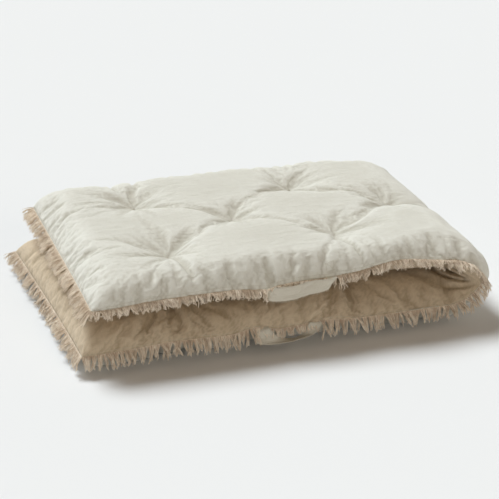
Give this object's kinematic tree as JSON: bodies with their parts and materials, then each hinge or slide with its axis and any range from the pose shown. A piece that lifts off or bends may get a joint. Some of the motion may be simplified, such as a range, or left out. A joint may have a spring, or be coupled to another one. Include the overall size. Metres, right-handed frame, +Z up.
{
  "type": "tufted floor cushion",
  "caption": "Long tufted cotton floor mattress folded in half, with fringed seams and a strap handle on each half; it opens flat at the fold.",
  "frame": {"origin": "on the floor, midway across the width and midway between the lower half's free seam and the outside of the fold", "axes": "+X towards the fold, +Y away from the handles, +Z up"},
  "size_m": [0.942, 0.6689, 0.192],
  "materials": {
    "outer_panel": "matte washed cotton",
    "inner_panel": "matte washed cotton",
    "batting": "loose cotton batting",
    "thread": "twisted cotton thread",
    "fringe": "loose cotton yarn",
    "strap": "folded cotton cloth"
  },
  "bodies": {
    "lower_half": {"lower_fill": "batting", "lower_outer_panel": "outer_panel", "lower_inner_panel": "inner_panel", "lower_tufts": "thread", "lower_fringe_front": "fringe", "lower_fringe_back": "fringe", "lower_fringe_end": "fringe", "lower_handle_stitching": "thread", "fold_fill": "batting", "fold_outer_panel": "outer_panel", "fold_inner_panel": "inner_panel", "fold_fringe_front": "fringe", "fold_fringe_back": "fringe"},
    "upper_half": {"upper_fill": "batting", "upper_outer_panel": "outer_panel", "upper_inner_panel": "inner_panel", "upper_tufts": "thread", "upper_fringe_front": "fringe", "upper_fringe_back": "fringe", "upper_fringe_end": "fringe", "upper_handle_stitching": "thread"},
    "lower_handle": {"lower_handle": "strap"},
    "upper_handle": {"upper_handle": "strap"}
  },
  "joints": [
    {"name": "fold", "type": "hinge", "parent": "lower_half", "child": "upper_half", "pos_m": [0.3655, 0, 0.096], "axis": [0, 1, 0], "range_deg": [0, 179.5], "deforming": ["fold_fill", "fold_outer_panel", "fold_inner_panel", "fold_fringe_front", "fold_fringe_back"]},
    {"name": "lower_handle_swing", "type": "hinge", "parent": "lower_half", "child": "lower_handle", "pos_m": [0, -0.3048, 0.043], "axis": [-1, 0, 0], "range_deg": [0, 60]},
    {"name": "upper_handle_swing", "type": "hinge", "parent": "upper_half", "child": "upper_handle", "pos_m": [0, -0.3048, 0.149], "axis": [-1, 0, 0], "range_deg": [0, 100]}
  ]
}
